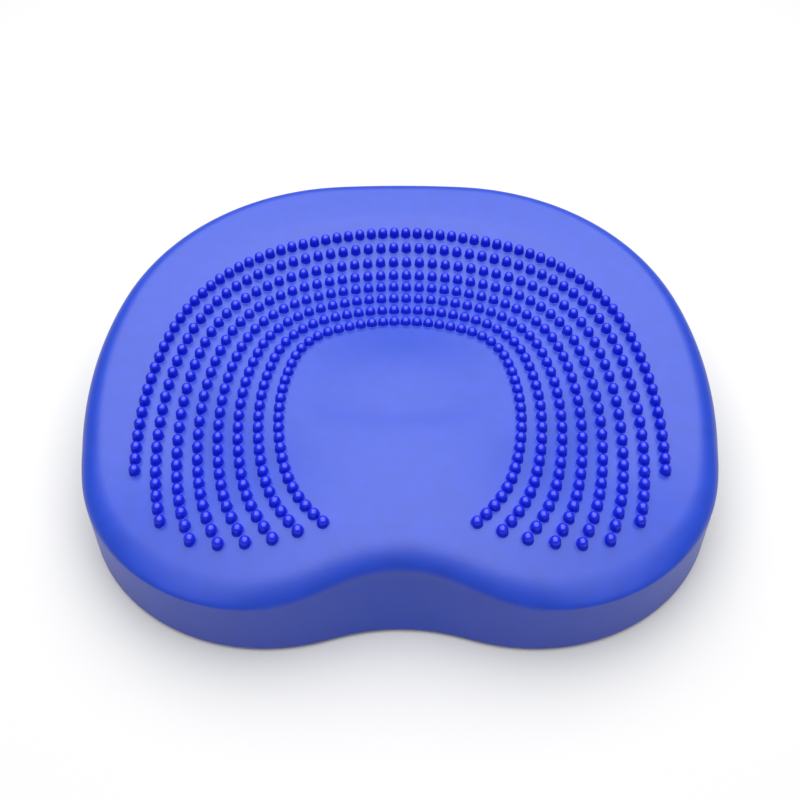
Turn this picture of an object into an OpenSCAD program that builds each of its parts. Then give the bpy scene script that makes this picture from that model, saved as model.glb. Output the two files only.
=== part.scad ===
// Contoured wobble cushion: an air-filled, moulded soft PVC skin with a nubbed deck.
// X runs across the seat, +Y to the back, +Z up; the origin is under the middle of the flat underside.

/* [Overall] */
// Width of the cushion across its base, in mm
cushion_w = 360; // [340:5:380]
// Height of the middle of the seat above the floor
seat_h = 59; // [56:0.5:61]
// Thickness of the moulded skin
skin = 3; // [2:0.5:4]

/* [Outline] */
// Radius of the almost straight back edge, in proportion to the other arcs
back_r = 614; // [500:2:700]
// Angle that the back edge turns through on each side
back_turn = 3.9; // [3:0.1:6]
// Radius of the rear corners
corner_r = 144; // [135:1:150]
// Angle that a rear corner turns through
corner_turn = 70.8; // [68:0.1:74]
// Radius of the sides
side_r = 234; // [220:2:250]
// Angle that a side turns through
side_turn = 30.6; // [28:0.1:33]
// Radius of the two front lobes
lobe_r = 107; // [100:1:112]
// Angle that the concave notch turns back on each side
notch_turn = 18.1; // [16:0.1:20]

/* [Wall and rim] */
// How far the wall leans in between the floor and the roll
wall_lean = 1.5; // [0:0.5:3]
// How much further it leans in at the middle of the notch
notch_lean = 5; // [3:0.5:7]
// Distance of the rim's crest in from the base outline
crest_inset = 15; // [13:0.5:20]
// Height of the roll that joins the wall to the crest
roll_h = 12; // [11:0.5:12.5]
// Height of the crest's own slope over the middle of the cushion
crest_h = 56.5; // [55:0.5:58]
// How much that slope climbs from the middle to the back
crest_climb = 25.5; // [23:0.5:27]
// How much the crest sags below the slope at the back and the front
crest_sag = 7.5; // [6:0.5:8]
// Height of the broad cross ridge that carries the front of the seat
ridge_rise = 26; // [25:0.5:28]
// Height of the low dome in the middle of the seat
dome_rise = 5.5; // [3:0.5:7]

/* [Wobble] */
// Height of the wall's band that folds as the deck sinks
sink_band = 10; // [9:0.5:10.5]
// Height of the wall's band that folds as the deck pitches
pitch_band = 10; // [9:0.5:10.5]
// Height of the wall's band that folds as the deck rolls
roll_band = 11; // [10:0.5:11.5]

/* [Nubs] */
// Diameter of a massage nub
nub_d = 5.8; // [4.5:0.1:6.5]
// Height of a nub above the deck
nub_h = 5.3; // [4:0.1:6]
// Nubs in the outermost row
nubs_outer = 72; // [64:2:76]
// How many fewer nubs each next row has
nubs_step = 2; // [2:2:4]
// Distance between neighbouring rows
row_gap = 11; // [10:0.1:11.5]

/* [Valve] */
// Distance of the needle valve behind the middle
valve_y = 110; // [95:5:120]
// Diameter of the round recess that the valve sits in
recess_d = 34; // [30:1:40]
// Depth of that recess
recess_depth = 4.5; // [4:0.5:6]
// Diameter of the valve's plug in the skin
plug_d = 12; // [10:0.5:14]
// Diameter of the hole for the pump's needle
needle_d = 2.2; // [2:0.1:2.6]

/* [Hidden] */
$fn = 48;
blue = "royalblue";
nub_blue = "mediumblue";
rubber = "darkslategray";
arc_steps = 14;                                 // points along each of the outline's arcs

// The half outline from the middle of the back: [radius, turn] of each arc, the notch last.
lobe_turn = 180 + notch_turn - back_turn - corner_turn - side_turn;
round_arcs = [[back_r, back_turn], [corner_r, corner_turn], [side_r, side_turn], [lobe_r, lobe_turn]];

// Nub rows follow arcs of their own; every next row is the same curve, one gap further in.
row_arcs = [[187, 21], [111, 53], [209, 35], [148, 90]];
row_back_y = 98.7;                               // back middle of the outermost row
function row_nub_h(row) = nub_h - 0.15 * row;    // nubs get lower towards the middle
row_pitch = [7.4, 8.1, 8.2, 8.05, 7.8, 7.5, 7.1, 6.65];

// A point and heading after an arc: p is the start, h the heading, r the radius, t the turn.
function side_of(h) = [sin(h), -cos(h)];
function arc_point(p, h, r, t) = p + r * side_of(h) - r * side_of(h - t);

// State [point, heading] at the start of arc k, on the curve that lies d inside.
function state(arcs, y, d, k) =
    k == 0 ? [[0, y - d], 0] :
    let (s = state(arcs, y, d, k - 1), a = arcs[k - 1])
    [arc_point(s[0], s[1], a[0] - d, a[1]), s[1] - a[1]];

// The unscaled outline starts at y = 0; the notch's radius brings it back to the middle.
raw_end = state(round_arcs, 0, 0, len(round_arcs));
notch_r = -raw_end[0].x / sin(notch_turn);
arcs = concat(round_arcs, [[notch_r, -notch_turn]]);
function half_raw(y, d) = concat([[0, y - d]],
    [for (k = [0 : len(arcs) - 1], i = [1 : arc_steps])
        let (s = state(arcs, y, d, k), a = arcs[k])
        arc_point(s[0], s[1], a[0] - d, a[1] * i / arc_steps)]);
raw = half_raw(0, 0);
grow = cushion_w / 2 / max([for (p = raw) p.x]); // brings the arcs to the stated width
depth = -min([for (p = raw) p.y]) * grow;
function outline(d) =
    let (half = [for (p = half_raw(0, d / grow)) [p.x * grow, p.y * grow + depth / 2]])
    concat(half, [for (i = [len(half) - 2 : -1 : 1]) [-half[i].x, half[i].y]]);
around = len(outline(0));

// Height of the seat's surface: the middle, the rim's crest round it, a cross ridge and a dome.
ridge_y = -0.77 * depth / 2;
ridge_w = 138;                                  // spread of the ridge across the seat
function ridge_l(y) = y < ridge_y ? 90 : 40;    // its spread towards the front edge and the middle
dome_at = [0, -24];
dome_spread = [47, 43];
function ease(t) = let (u = min(1, max(0, t))) u * u * (3 - 2 * u);
function reach(x, y) = pow(pow(abs(x) / (cushion_w / 2), 2.5) + pow(abs(y) / (depth / 2), 2.5), 0.4);
function crest_z(v) = crest_h + crest_climb * v - crest_sag * v * v;
function bump(x, y, at, spread) = exp(-pow((x - at.x) / spread.x, 2) - pow((y - at.y) / spread.y, 2));
function seat_z(x, y) = seat_h
    + (crest_z(y / (depth / 2)) - seat_h) * ease((reach(x, y) - 0.37) / 0.38)
    + ridge_rise * bump(x, y, [0, ridge_y], [ridge_w, ridge_l(y)])
    + dome_rise * bump(x, y, dome_at, dome_spread);

// The wall leans in evenly up to full_lean, and more in the notch; k is the share of the full lean.
edge_top = 3;                                   // height where the rounded lower edge ends
full_lean = 41;
sink_top = edge_top + sink_band;
pitch_top = sink_top + pitch_band;
wall_top = pitch_top + roll_band;               // the deck begins here
function lean_share(z) = min(1, (z - edge_top) / (full_lean - edge_top));
function shape_notch(ring, k) = [for (p = ring)
    [p.x, p.y + (p.y < 0 ? notch_lean * k * exp(-pow(p.x / 43, 2)) : 0)]];
function wall_ring(z, d = 0) = let (k = lean_share(z))
    [for (p = shape_notch(outline(d + wall_lean * k), k)) [p.x, p.y, z]];
crest = shape_notch(outline(crest_inset), 1);

// A ring on the roll: t runs from 0, where the roll leaves the wall, to 1 at the crest.
function roll_ring(t) =
    let (ring = shape_notch(outline(wall_lean + (crest_inset - wall_lean) * (1 - cos(90 * t))), 1))
    [for (i = [0 : around - 1])
        let (low = max(wall_top + 1.3, seat_z(crest[i].x, crest[i].y) - roll_h)) // never under the bands
        [ring[i].x, ring[i].y, low + (seat_z(ring[i].x, ring[i].y) - low) * sin(90 * t)]];

// A ring on the seat inside the crest, drawn in towards the middle by k; drop lowers it.
function seat_ring(k, drop = 0) =
    [for (p = crest) [p.x * k, p.y * k, seat_z(p.x * k, p.y * k) - drop]];

// Joins rings of equal length into one closed skin: ends are flat caps, or the last ring meets the first.
module loft(rings, capped) {
    n = around;
    m = len(rings);
    walls = [for (j = [0 : m - (capped ? 2 : 1)], i = [0 : n - 1])
        let (a = j * n, b = ((j + 1) % m) * n, k = (i + 1) % n)
        each [[a + i, a + k, b + k], [a + i, b + k, b + i]]];
    caps = capped ? [[for (i = [n - 1 : -1 : 0]) i], [for (i = [0 : n - 1]) (m - 1) * n + i]] : [];
    polyhedron(points = [for (r = rings) each r], faces = concat(walls, caps), convexity = 6);
}

// One band of the side wall between two heights.
module wall_band(low, high) {
    color(blue)
        loft([wall_ring(low), wall_ring(high), wall_ring(high, skin), wall_ring(low, skin)], false);
}

module base_skin() {
    color(blue) difference() {
        union() {
            loft([[for (p = outline(3.5)) [p.x, p.y, 0]],
                  [for (p = outline(1.4)) [p.x, p.y, 1]],
                  wall_ring(edge_top)], true);
            translate([0, valve_y, 1]) cylinder(d = recess_d + 2 * skin, h = recess_depth + skin - 1);
        }
        translate([0, valve_y, -1]) cylinder(d = recess_d, h = recess_depth + 1);
        translate([0, valve_y, -1]) cylinder(d = plug_d, h = recess_depth + skin + 2);
    }
}

module deck_skin() {
    color(blue)
        loft(concat(
            [for (k = [0.04, 0.2, 0.35, 0.5, 0.62, 0.74, 0.84, 0.93, 1]) seat_ring(k)],
            [for (t = [0.8, 0.6, 0.4, 0.2, 0]) roll_ring(t)],
            [wall_ring(wall_top)],
            [wall_ring(wall_top, skin)],
            [for (t = [0, 0.4, 0.75, 1]) [for (p = roll_ring(t))
                [p.x * 0.98, p.y * 0.98, p.z - skin * (0.4 + 0.6 * t)]]],
            [for (k = [0.93, 0.84, 0.74, 0.62, 0.5, 0.35, 0.2, 0.04]) seat_ring(k, skin)]), true);
}

// Where nub number i of a row stands, counted from the middle of the back.
function along(row, s, k = 0) =
    let (d = row * row_gap, st = state(row_arcs, row_back_y, d, k), r = row_arcs[k][0] - d,
         span = r * row_arcs[k][1] * PI / 180)
    s <= span || k == len(row_arcs) - 1 ? arc_point(st[0], st[1], r, s / r * 180 / PI)
                                        : along(row, s - span, k + 1);

module nub_row(number) {
    row = number - 1;
    color(nub_blue)
        for (i = [0 : (nubs_outer - nubs_step * row) / 2 - 1], s = [-1, 1])
            let (p = along(row, (i + 0.5) * row_pitch[row]), z = seat_z(p.x, p.y))
            translate([s * p.x, p.y, z - 1]) {
                cylinder(d = nub_d, h = row_nub_h(row) + 1 - nub_d / 2, $fn = 24);
                translate([0, 0, row_nub_h(row) + 1 - nub_d / 2]) sphere(d = nub_d, $fn = 24);
            }
}

module needle_valve() {
    color(rubber) translate([0, valve_y, recess_depth]) difference() {
        union() {
            translate([0, 0, -2.5]) cylinder(d = plug_d + 9, h = 2.5);
            translate([0, 0, -2.5]) cylinder(d = plug_d, h = 14);
            translate([0, 0, skin]) cylinder(d1 = plug_d + 4, d2 = plug_d, h = 3);
        }
        translate([0, 0, -3.5]) cylinder(d = needle_d, h = 12);
    }
}

base_skin();
wall_band(edge_top, sink_top);  // sink_wall
wall_band(sink_top, pitch_top);  // pitch_wall
wall_band(pitch_top, wall_top);  // roll_wall
deck_skin();
for (n = [1 : 8]) nub_row(n);
needle_valve();
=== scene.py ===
import math

import bpy
import numpy as np
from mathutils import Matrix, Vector


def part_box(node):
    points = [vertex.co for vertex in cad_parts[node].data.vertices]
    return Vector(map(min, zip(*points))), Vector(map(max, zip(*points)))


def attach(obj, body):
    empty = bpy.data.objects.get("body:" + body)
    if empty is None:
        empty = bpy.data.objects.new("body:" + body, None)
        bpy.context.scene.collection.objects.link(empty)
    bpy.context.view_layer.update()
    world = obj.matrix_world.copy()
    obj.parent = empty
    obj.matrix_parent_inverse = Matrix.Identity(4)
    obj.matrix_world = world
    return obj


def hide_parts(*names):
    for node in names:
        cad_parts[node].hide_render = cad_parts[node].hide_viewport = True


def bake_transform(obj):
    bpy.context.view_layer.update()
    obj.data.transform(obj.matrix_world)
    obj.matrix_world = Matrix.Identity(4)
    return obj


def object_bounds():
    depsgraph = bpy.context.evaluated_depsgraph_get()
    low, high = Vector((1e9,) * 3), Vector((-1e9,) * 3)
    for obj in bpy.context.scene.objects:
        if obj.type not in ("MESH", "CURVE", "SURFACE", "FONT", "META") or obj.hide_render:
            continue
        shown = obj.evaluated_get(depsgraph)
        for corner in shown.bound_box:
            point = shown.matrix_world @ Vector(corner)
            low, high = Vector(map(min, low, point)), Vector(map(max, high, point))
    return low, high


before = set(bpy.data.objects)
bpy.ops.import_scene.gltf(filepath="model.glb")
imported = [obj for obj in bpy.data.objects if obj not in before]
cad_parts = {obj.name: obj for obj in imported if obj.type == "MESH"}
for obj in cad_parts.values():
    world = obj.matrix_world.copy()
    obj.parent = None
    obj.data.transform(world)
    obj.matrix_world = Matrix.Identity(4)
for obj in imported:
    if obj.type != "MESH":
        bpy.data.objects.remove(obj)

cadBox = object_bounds()
mm = 0.001                                   # everything below is written in millimetres

cushion = {                                  # the whole cushion, in the CAD's frame
    "width": (cadBox[1].x - cadBox[0].x) / mm,
    "backRadius": 614, "backTurn": 3.9,      # half outline as arcs, from the middle of the back
    "cornerRadius": 144, "cornerTurn": 70.8,
    "sideRadius": 234, "sideTurn": 30.6,
    "lobeRadius": 107, "notchTurn": 18.1,
    "arcBlend": 8,                           # how softly one arc runs into the next
    "around": 432,                           # points round the outline
    "skin": 3.0,                             # thickness of the moulding
}

wall = {
    "edgeTop": 3.0,                          # the rounded lower edge ends here
    "edge": [                                # height and inset of each ring of the rounded edge
        (0.0, 3.5), (0.15, 2.3), (0.5, 1.5), (1.0, 0.95), (1.6, 0.5), (2.2, 0.2), (3.0, 0.0)],
    "fullLean": 41.0, "lean": 1.5,           # the wall leans in evenly up to this height
    "notchLean": 5.0, "notchHalf": 43.0,     # and further in the middle of the notch
    "seams": [round(p.z / mm, 2) for p in (  # where one body of the cushion meets the next
        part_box("sink_wall")[0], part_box("pitch_wall")[0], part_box("roll_wall")[0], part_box("roll_wall")[1])],
    "overSeam": 1.3,                         # the roll starts at least this far above the last seam
}

seat = {
    "height": 59.0,                          # middle of the seat without the dome
    "crest": 56.5, "climb": 25.5, "sag": 7.5,  # the rim halfway back, its rise and its sag to each end
    "rimFrom": 0.37, "rimSpan": 0.38,        # where the rim starts to rise, and over what share
    "ridge": 26.0, "ridgeAt": 0.77, "ridgeWide": 138.0, "ridgeBack": 40.0, "ridgeFront": 90.0,
    "dome": 5.5, "domeAt": -24.0, "domeWide": 47.0, "domeLong": 43.0,
    "crestInset": 15.0, "rollHeight": 12.0,
}


def hexColor(code):                          # sRGB hex to linear RGBA
    parts = [int(code[i:i + 2], 16) / 255 for i in (1, 3, 5)]
    return tuple(c / 12.92 if c <= 0.04045 else ((c + 0.055) / 1.055) ** 2.4 for c in parts) + (1.0,)


def addNode(tree, kind, settings=None, links=None):
    node = tree.nodes.new(kind)
    for key, value in (settings or {}).items():
        if key in node.inputs:
            node.inputs[key].default_value = value
        else:
            setattr(node, key, value)
    for key, source in (links or {}).items():
        tree.links.new(source, node.inputs[key])
    return node


def ease(t):
    t = np.clip(t, 0, 1)
    return t * t * (3 - 2 * t)


def halfOutline():                           # points and outward normals from the back to the notch
    c = cushion
    lobeTurn = 180 + c["notchTurn"] - c["backTurn"] - c["cornerTurn"] - c["sideTurn"]
    arcs = [(c["backRadius"], c["backTurn"]), (c["cornerRadius"], c["cornerTurn"]),
            (c["sideRadius"], c["sideTurn"]), (c["lobeRadius"], lobeTurn)]
    x, heading = 0.0, 0.0
    for radius, turn in arcs:
        x += radius * (math.sin(math.radians(heading + turn)) - math.sin(math.radians(heading)))
        heading += turn
    arcs.append((x / math.sin(math.radians(c["notchTurn"])), -c["notchTurn"]))
    step = 0.25
    curve = np.concatenate([np.full(round(r * math.radians(abs(t)) / step), math.copysign(1 / r, t))
                            for r, t in arcs])
    reach = int(4 * c["arcBlend"] / step)
    kernel = np.exp(-(np.arange(-reach, reach + 1) * step / c["arcBlend"]) ** 2)
    curve = np.concatenate([curve[:reach][::-1], curve, curve[-reach:][::-1]])
    curve = np.convolve(curve, kernel / kernel.sum(), mode="valid")
    heading = np.concatenate([[0], np.cumsum(curve) * step])
    heading *= math.pi / heading[-1]
    middle = (heading[1:] + heading[:-1]) / 2
    x = np.concatenate([[0], np.cumsum(np.cos(middle)) * step])
    y = np.concatenate([[0], -np.cumsum(np.sin(middle)) * step])
    x -= x[-1] * np.linspace(0, 1, len(x))   # the notch ends exactly on the middle line
    grow = c["width"] / 2 / x.max()
    at = np.arange(len(x))
    pick = np.linspace(0, len(x) - 1, c["around"] // 2 + 1)
    points = np.column_stack([np.interp(pick, at, x), np.interp(pick, at, y)]) * grow
    points[:, 1] -= points[:, 1].min() / 2   # front and back equally far from the middle
    turned = np.interp(pick, at, heading)
    return points, np.column_stack([np.sin(turned), np.cos(turned)])


half, halfNormal = halfOutline()
mirror = np.array([-1.0, 1.0])
outer = np.concatenate([half, half[-2:0:-1] * mirror])[::-1]
outward = np.concatenate([halfNormal, halfNormal[-2:0:-1] * mirror])[::-1]
depth = outer[:, 1].max() - outer[:, 1].min()
print(f"outline: {len(outer)} points, {depth:.1f} mm deep")


def bump(x, y, atY, wide, long):
    return np.exp(-(x / wide) ** 2 - ((y - atY) / long) ** 2)


def seatHeight(x, y):
    s = seat
    v = y / (depth / 2)
    rim = s["crest"] + s["climb"] * v - s["sag"] * v * v
    reach = (np.abs(x / (cushion["width"] / 2)) ** 2.5 + np.abs(v) ** 2.5) ** 0.4
    ridgeY = -s["ridgeAt"] * depth / 2
    ridgeLong = np.where(y < ridgeY, s["ridgeFront"], s["ridgeBack"])
    return (s["height"] + (rim - s["height"]) * ease((reach - s["rimFrom"]) / s["rimSpan"])
            + s["ridge"] * bump(x, y, ridgeY, s["ridgeWide"], ridgeLong)
            + s["dome"] * bump(x, y, s["domeAt"], s["domeWide"], s["domeLong"]))


def shapeNotch(ring, share):
    ring = ring.copy()
    pull = wall["notchLean"] * share * np.exp(-(ring[:, 0] / wall["notchHalf"]) ** 2)
    ring[:, 1] += (ring[:, 1] < 0) * pull
    return ring


def wallRing(z, inset=0.0):                  # z is one height or a height for each point
    z = np.full(len(outer), 1.0) * z
    share = np.clip((z - wall["edgeTop"]) / (leanTop - wall["edgeTop"]), 0, 1)
    ring = outer - outward * (inset + wall["lean"] * share)[:, None]
    return np.column_stack([shapeNotch(ring, share), z])


def crestRing(inset):
    return shapeNotch(outer - outward * inset, 1)


crest = crestRing(seat["crestInset"])
wallTop = seatHeight(crest[:, 0], crest[:, 1]) - seat["rollHeight"]
wallTop = np.maximum(wallTop, wall["seams"][-1] + wall["overSeam"])
leanTop = np.minimum(wall["fullLean"], wallTop)
print(f"wall: its top is {wallTop.min():.1f} to {wallTop.max():.1f} mm high")


def rollRing(t, skin=0.0):                   # from the top of the wall, t = 0, to the crest, t = 1
    angle = t * math.pi / 2
    inset = wall["lean"] + (seat["crestInset"] - wall["lean"]) * (1 - math.cos(angle))
    ring = crestRing(inset)
    z = wallTop + (seatHeight(ring[:, 0], ring[:, 1]) - wallTop) * math.sin(angle)
    if skin:
        ring = crestRing(inset + skin * math.cos(angle))
        z = z - skin * math.sin(angle)
    return np.column_stack([ring, z])


def seatRing(k, drop=0.0):
    x, y = crest[:, 0] * k, crest[:, 1] * k
    return np.column_stack([x, y, seatHeight(x, y) - drop])


def makePiece(name, points, faces, material, sharp=40):
    mesh = bpy.data.meshes.new(name)
    mesh.from_pydata((np.asarray(points) * mm).tolist(), [], faces)
    mesh.validate()
    mesh.shade_smooth()
    mesh.set_sharp_from_angle(angle=math.radians(sharp))
    mesh.materials.append(material)
    piece = bpy.data.objects.new(name, mesh)
    bpy.context.scene.collection.objects.link(piece)
    return piece


def loft(rings, closed=False, start=None, end=None):  # start and end are single points that close it
    n = len(rings[0])
    points = [tuple(p) for ring in rings for p in ring]
    faces = []
    for j in range(len(rings) if closed else len(rings) - 1):
        a, b = j * n, (j + 1) % len(rings) * n
        faces += [(a + i, a + (i + 1) % n, b + (i + 1) % n, b + i) for i in range(n)]
    for point, ring, flip in ((start, 0, True), (end, len(rings) - 1, False)):
        if point is not None:
            points.append(tuple(point))
            tip, a = len(points) - 1, ring * n
            for i in range(n):
                pair = (a + (i + 1) % n, a + i) if flip else (a + i, a + (i + 1) % n)
                faces.append(pair + (tip,))
    return points, faces


def newMaterial(name):
    material = bpy.data.materials.new(name)
    material.use_nodes = True
    material.node_tree.nodes.clear()
    return material, material.node_tree


skinPvc = {                                  # moulded soft PVC: deep pigment, broad satin shine
    "color": "#0e35a5", "light": "#1038ac",  # the pigment and its faint mottling
    "patch": 9.0,                            # size of the mottling, mm
    "roughness": 0.42, "ior": 1.53,
    "grain": 1.1, "grainHeight": 0.03,       # mould grain; the real one is finer, too fine to draw
    "wave": 34.0, "waveHeight": 0.08,        # slow unevenness of a blown-up skin, mm
}
nubPvc = {                                   # the same PVC, polished by the smooth nub moulds
    "color": "#0a1cc2", "light": "#0c21ca",
    "patch": 6.0,
    "roughness": 0.27, "ior": 1.53,
    "grain": 1.1, "grainHeight": 0.01,
    "wave": 34.0, "waveHeight": 0.05,
}
valveRubber = {                              # soft dark rubber that grips the pump needle, matt
    "color": "#1b1c20", "light": "#26272b",
    "patch": 2.0,
    "roughness": 0.62, "ior": 1.52,
    "grain": 0.9, "grainHeight": 0.03,
    "wave": 20.0, "waveHeight": 0.02,
}


def makePlastic(name, s):
    material, tree = newMaterial(name)
    place = addNode(tree, "ShaderNodeTexCoord").outputs["Object"]
    patch = addNode(tree, "ShaderNodeTexNoise", {"Scale": 1 / (s["patch"] * mm), "Detail": 3.0},
                    {"Vector": place})
    ramp = addNode(tree, "ShaderNodeValToRGB", None, {"Fac": patch.outputs["Fac"]})
    for element, at, color in zip(ramp.color_ramp.elements, (0.35, 0.65), (s["color"], s["light"])):
        element.position, element.color = at, hexColor(color)
    wave = addNode(tree, "ShaderNodeTexNoise", {"Scale": 1 / (s["wave"] * mm), "Detail": 1.0},
                   {"Vector": place})
    grain = addNode(tree, "ShaderNodeTexNoise", {"Scale": 1 / (s["grain"] * mm), "Detail": 2.0},
                    {"Vector": place})
    slow = addNode(tree, "ShaderNodeBump", {"Distance": s["waveHeight"] * mm},
                   {"Height": wave.outputs["Fac"]})
    fine = addNode(tree, "ShaderNodeBump", {"Distance": s["grainHeight"] * mm},
                   {"Height": grain.outputs["Fac"], "Normal": slow.outputs["Normal"]})
    shader = addNode(tree, "ShaderNodeBsdfPrincipled", {"Roughness": s["roughness"], "IOR": s["ior"]},
                     {"Base Color": ramp.outputs["Color"], "Normal": fine.outputs["Normal"]})
    addNode(tree, "ShaderNodeOutputMaterial", None, {"Surface": shader.outputs["BSDF"]})
    return material


skinMaterial = makePlastic("moulded soft PVC", skinPvc)
nubMaterial = makePlastic("polished soft PVC", nubPvc)
rubberMaterial = makePlastic("valve rubber", valveRubber)


valve = {
    "y": sum(p.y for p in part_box("needle_valve")) / 2 / mm,
    "recessRadius": 17.0, "recessCorner": 0.6, "lipSteps": 5,
    "recessDepth": 4.5, "recessFillet": 1.2,
    "plugRadius": 6.0, "flangeRadius": 10.5, "flangeThick": 2.5, "needleRadius": 1.1,
    "needleDepth": 9.0, "needleTip": 0.6, "sides": 64,
    "mouth": [(0.0, 0.9), (0.5, 0.3), (1.2, 0.0)],                  # funnel round the needle hole
    "groove": [(3.4, 0.0), (3.6, 0.35), (4.2, 0.35), (4.4, 0.0)],   # ring pressed into the face
    "rim": [(-0.7, 0.0), (-0.2, 0.2), (0.0, 0.7)],                  # rounded edge of the flange
    "neck": 8.0, "barb": 1.4, "barbTip": -1.0, "barbHeight": 3.5,
}
plate = {                                    # rings in the flat underside and the rounded corner inside it
    "underFrom": 0.05, "underRings": 12,
    "floorFrom": 0.2, "floorRings": 5, "innerCorner": 0.5,
}
drawn = {                                    # how finely the other pieces of the skin are drawn
    "band": 9, "wall": 6, "roll": 25, "rollInside": 9,
    "rim": 21, "rimFrom": 0.8, "seat": 60, "seatInside": 30, "middle": 0.02,
}


def makeBase():
    n, skin = len(outer), cushion["skin"]
    pocket = np.array([0.0, valve["y"]])
    edge = [wallRing(z, inset) for z, inset in wall["edge"]]
    turn = np.arctan2(outer[:, 1] - pocket[1], outer[:, 0] - pocket[0])
    hole, fillet, corner = valve["plugRadius"], valve["recessFillet"], valve["recessCorner"]
    deep, lip = valve["recessDepth"], valve["recessRadius"]

    def roundRing(radius, z):
        return np.column_stack([radius * np.cos(turn), pocket[1] + radius * np.sin(turn), np.full(n, z)])

    rings = [roundRing(hole, deep + skin), roundRing(hole, deep),
             roundRing(lip - corner, deep), roundRing(lip, deep - corner)]
    for angle in np.linspace(0, math.pi / 2, valve["lipSteps"]):  # rounded lip of the recess
        rings.append(roundRing(lip + fillet * (1 - math.cos(angle)), fillet * (1 - math.sin(angle))))
    lipRing, flat = rings[-1][:, :2], edge[0][:, :2]
    for k in np.linspace(plate["underFrom"], 1, plate["underRings"]):
        rings.append(np.column_stack([lipRing * (1 - k) + flat * k, np.zeros(n)]))
    rings += edge[1:]
    rings.append(wallRing(wall["edgeTop"], skin))
    rings.append(wallRing(skin, skin + plate["innerCorner"]))
    inside, pocketWall = rings[-1][:, :2], roundRing(lip + skin, skin)[:, :2]
    for k in np.linspace(plate["floorFrom"], 1, plate["floorRings"]):
        rings.append(np.column_stack([inside * (1 - k) + pocketWall * k, np.full(n, skin)]))
    rings.append(roundRing(lip + skin, deep + skin))
    return loft(rings, closed=True)


def makeBand(low, high):
    heights = np.linspace(low, high, drawn["band"])
    rings = [wallRing(z) for z in heights] + [wallRing(z, cushion["skin"]) for z in heights[::-1]]
    return loft(rings, closed=True)


def makeDeck():
    skin, low, middle = cushion["skin"], wall["seams"][-1], drawn["middle"]
    rings = [wallRing(low + (wallTop - low) * k) for k in np.linspace(0, 1, drawn["wall"] + 1)[:-1]]
    rings += [rollRing(t) for t in np.linspace(0, 1, drawn["roll"])]
    rim = np.linspace(1, drawn["rimFrom"], drawn["rim"])[1:]
    rings += [seatRing(k) for k in (*rim, *np.linspace(drawn["rimFrom"], middle, drawn["seat"])[1:])]
    under = [seatRing(k, skin) for k in np.linspace(middle, 1, drawn["seatInside"])]
    under += [rollRing(t, skin) for t in np.linspace(1, 0, drawn["rollInside"] + 1)[1:]]
    under += [wallRing(low + (wallTop - low) * k, skin) for k in (0.5, 0.0)]
    peak = seatHeight(0.0, 0.0)
    points, faces = loft(rings, end=(0, 0, peak))
    shift = len(points)
    innerPoints, innerFaces = loft(under, start=(0, 0, peak - skin))
    points += innerPoints
    faces += [tuple(i + shift for i in face) for face in innerFaces]
    n = len(outer)
    last = shift + (len(under) - 1) * n      # the inner and outer shells meet at the lower edge
    faces += [(last + i, last + (i + 1) % n, (i + 1) % n, i) for i in range(n)]
    return points, faces


base = makePiece("skin_base", *makeBase(), skinMaterial)
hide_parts("base_skin")
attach(base, "base")

bands = [("skin_sink", "sink_wall", "base", "lower_wall"),
         ("skin_pitch", "pitch_wall", "lower_wall", "middle_wall"),
         ("skin_roll", "roll_wall", "middle_wall", "deck")]
for (name, node, below, above), low, high in zip(bands, wall["seams"], wall["seams"][1:]):
    band = makePiece(name, *makeBand(low, high), skinMaterial)
    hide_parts(node)
    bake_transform(band)

deck = makePiece("skin_deck", *makeDeck(), skinMaterial)
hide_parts("deck_skin")
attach(deck, "deck")
print("skin: base, three bands and deck")


nubs = {
    "outer": 72, "fewer": 2, "rows": 8,      # nubs in the outermost row, and how many fewer in each next
    "arcs": [(187, 21), (111, 53), (209, 35), (148, 90)],
    "backY": 98.7, "gap": 11.0,
    "pitch": [7.4, 8.1, 8.2, 8.05, 7.8, 7.5, 7.1, 6.65],
    "radius": 2.9, "height": 5.3, "lower": 0.15, "root": 1.2, "sides": 20, "domeSteps": 6,
    "fillet": 0.3,                           # below: its profile as shares, outwards and upwards
    "filletSteps": [(1.6, -0.6), (1.0, 0.0), (0.45, 0.18), (0.15, 0.45), (0.0, 0.8)],
}


def rowPath(inset, distances):               # half a row: points at the given distances from its middle
    spots = []
    for d in distances:
        x, y, heading, left = 0.0, nubs["backY"] - inset, 0.0, d
        for i, (radius, turn) in enumerate(nubs["arcs"]):
            r = radius - inset
            length = r * math.radians(turn)
            part = left if i == len(nubs["arcs"]) - 1 else min(left, length)
            ahead = heading + part / r
            x += r * (math.sin(ahead) - math.sin(heading))
            y -= r * (math.cos(heading) - math.cos(ahead))
            heading, left = ahead, left - part
            if left <= 0:
                break
        spots.append((x, y))
    return spots


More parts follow.
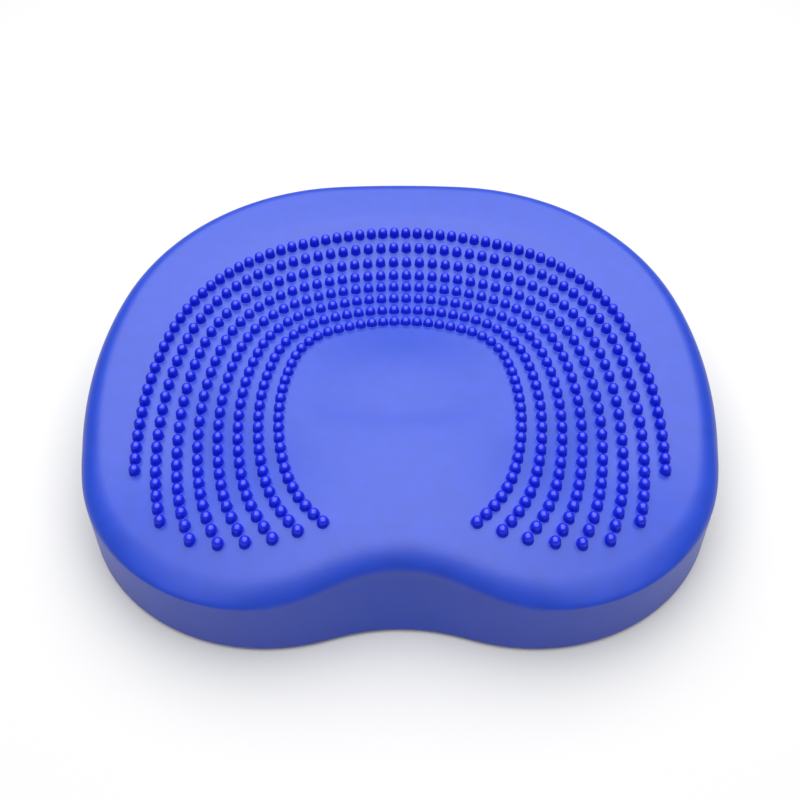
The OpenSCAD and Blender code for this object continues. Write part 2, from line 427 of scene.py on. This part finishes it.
def makeRow(row):
    count = nubs["outer"] - nubs["fewer"] * row
    pitch = nubs["pitch"][row]
    spots = rowPath(row * nubs["gap"], [(i + 0.5) * pitch for i in range(count // 2)])
    spots += [(-x, y) for x, y in spots]
    turn = np.linspace(0, 2 * math.pi, nubs["sides"], endpoint=False)
    side = np.column_stack([np.cos(turn), np.sin(turn)])
    radius, fillet = nubs["radius"], nubs["fillet"]
    height = nubs["height"] - nubs["lower"] * row  # nubs get lower towards the middle
    points, faces = [], []
    for x, y in spots:
        top = float(seatHeight(x, y)) + height
        rings = []
        for k, lift in nubs["filletSteps"]:
            ring = side * (radius + fillet * k) + (x, y)
            rings.append(np.column_stack([ring, seatHeight(ring[:, 0], ring[:, 1]) + lift * fillet]))
        for k in range(nubs["domeSteps"]):
            angle = k / nubs["domeSteps"] * math.pi / 2
            ring = side * radius * math.cos(angle) + (x, y)
            z = np.full(len(ring), top - radius + radius * math.sin(angle))
            rings.append(np.column_stack([ring, z]))
        p, f = loft(rings, start=(x, y, top - height - nubs["root"]), end=(x, y, top))
        shift = len(points)
        points += p
        faces += [tuple(i + shift for i in face) for face in f]
    return points, faces


for row in range(nubs["rows"]):
    nubRow = makePiece(f"nubs_{row + 1}", *makeRow(row), nubMaterial, sharp=75)
    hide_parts(f"nub_row_{row + 1}")
    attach(nubRow, "deck")
print("nubs: eight rows")


def makeValve():
    v = valve
    turn = np.linspace(0, 2 * math.pi, v["sides"], endpoint=False)
    floor = v["recessDepth"]
    low = floor - v["flangeThick"]
    needle, plug, neck = v["needleRadius"], v["plugRadius"], floor + v["neck"]
    tip = neck + v["barbHeight"]
    profile = [(needle, low + v["needleDepth"])]
    profile += [(needle + r, low + z) for r, z in v["mouth"]]
    profile += [(r, low + z) for r, z in v["groove"]]
    profile += [(v["flangeRadius"] + r, low + z) for r, z in v["rim"]]
    profile += [(v["flangeRadius"], floor), (plug, floor), (plug, neck),
                (plug + v["barb"], neck), (plug + v["barbTip"], tip)]
    rings = [np.column_stack([r * np.cos(turn), v["y"] + r * np.sin(turn), np.full(len(turn), z)])
             for r, z in profile]
    return loft(rings, start=(0, v["y"], low + v["needleDepth"] + v["needleTip"]), end=(0, v["y"], tip))


needleValve = makePiece("valve_plug", *makeValve(), rubberMaterial)
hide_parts("needle_valve")
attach(needleValve, "base")
print("valve: needle valve")


studio = {
    "target": (0.0, 0.0, 37.9), "distance": 529.9, "elevation": 45.8,
    "lens": 40.26, "sensor": 36.0, "shiftY": -0.0296,
    "softboxPlace": (0, 0.35, 1.3), "softboxSize": (2.0, 2.7), "softboxPower": 60.0,
    "world": "#ffffff", "worldStrength": 0.18,
    "floorSize": 6.0, "floorRoughness": 0.9, "floorDrop": 0.3, "floor": "#c4c4c4",
}


def makeStage():
    mesh = bpy.data.meshes.new("floor")
    s, low = studio["floorSize"], studio["floorDrop"] * mm
    mesh.from_pydata([(-s, -s, -low), (s, -s, -low), (s, s, -low), (-s, s, -low)], [], [(0, 1, 2, 3)])
    material, tree = newMaterial("painted studio floor")  # matt white paint, no shine of its own
    shader = addNode(tree, "ShaderNodeBsdfPrincipled",
                     {"Base Color": hexColor(studio["floor"]), "Roughness": studio["floorRoughness"]})
    addNode(tree, "ShaderNodeOutputMaterial", None, {"Surface": shader.outputs["BSDF"]})
    mesh.materials.append(material)
    floor = bpy.data.objects.new("floor", mesh)
    bpy.context.scene.collection.objects.link(floor)
    return floor


def makeLight(name, place, size, power):     # a level softbox, shining straight down
    data = bpy.data.lights.new(name, "AREA")
    data.shape, data.size, data.size_y, data.energy = "RECTANGLE", *size, power
    light = bpy.data.objects.new(name, data)
    light.location = place
    bpy.context.scene.collection.objects.link(light)
    return light


softbox = makeLight("softbox", studio["softboxPlace"], studio["softboxSize"], studio["softboxPower"])
makeStage()

world = bpy.data.worlds.new("studio")
world.use_nodes = True
world.node_tree.nodes["Background"].inputs["Color"].default_value = hexColor(studio["world"])
world.node_tree.nodes["Background"].inputs["Strength"].default_value = studio["worldStrength"]
bpy.context.scene.world = world

lens = bpy.data.cameras.new("camera")
lens.lens, lens.sensor_width, lens.shift_y = studio["lens"], studio["sensor"], studio["shiftY"]
camera = bpy.data.objects.new("camera", lens)
rise = math.radians(studio["elevation"])
target = Vector(studio["target"]) * mm
back = Vector((0, -math.cos(rise), math.sin(rise)))
camera.location = target + back * studio["distance"] * mm
camera.rotation_euler = (-back).to_track_quat("-Z", "Y").to_euler()
bpy.context.scene.collection.objects.link(camera)
bpy.context.scene.camera = camera
bpy.context.scene.view_settings.view_transform = "Standard"
print("stage: floor, light and camera")
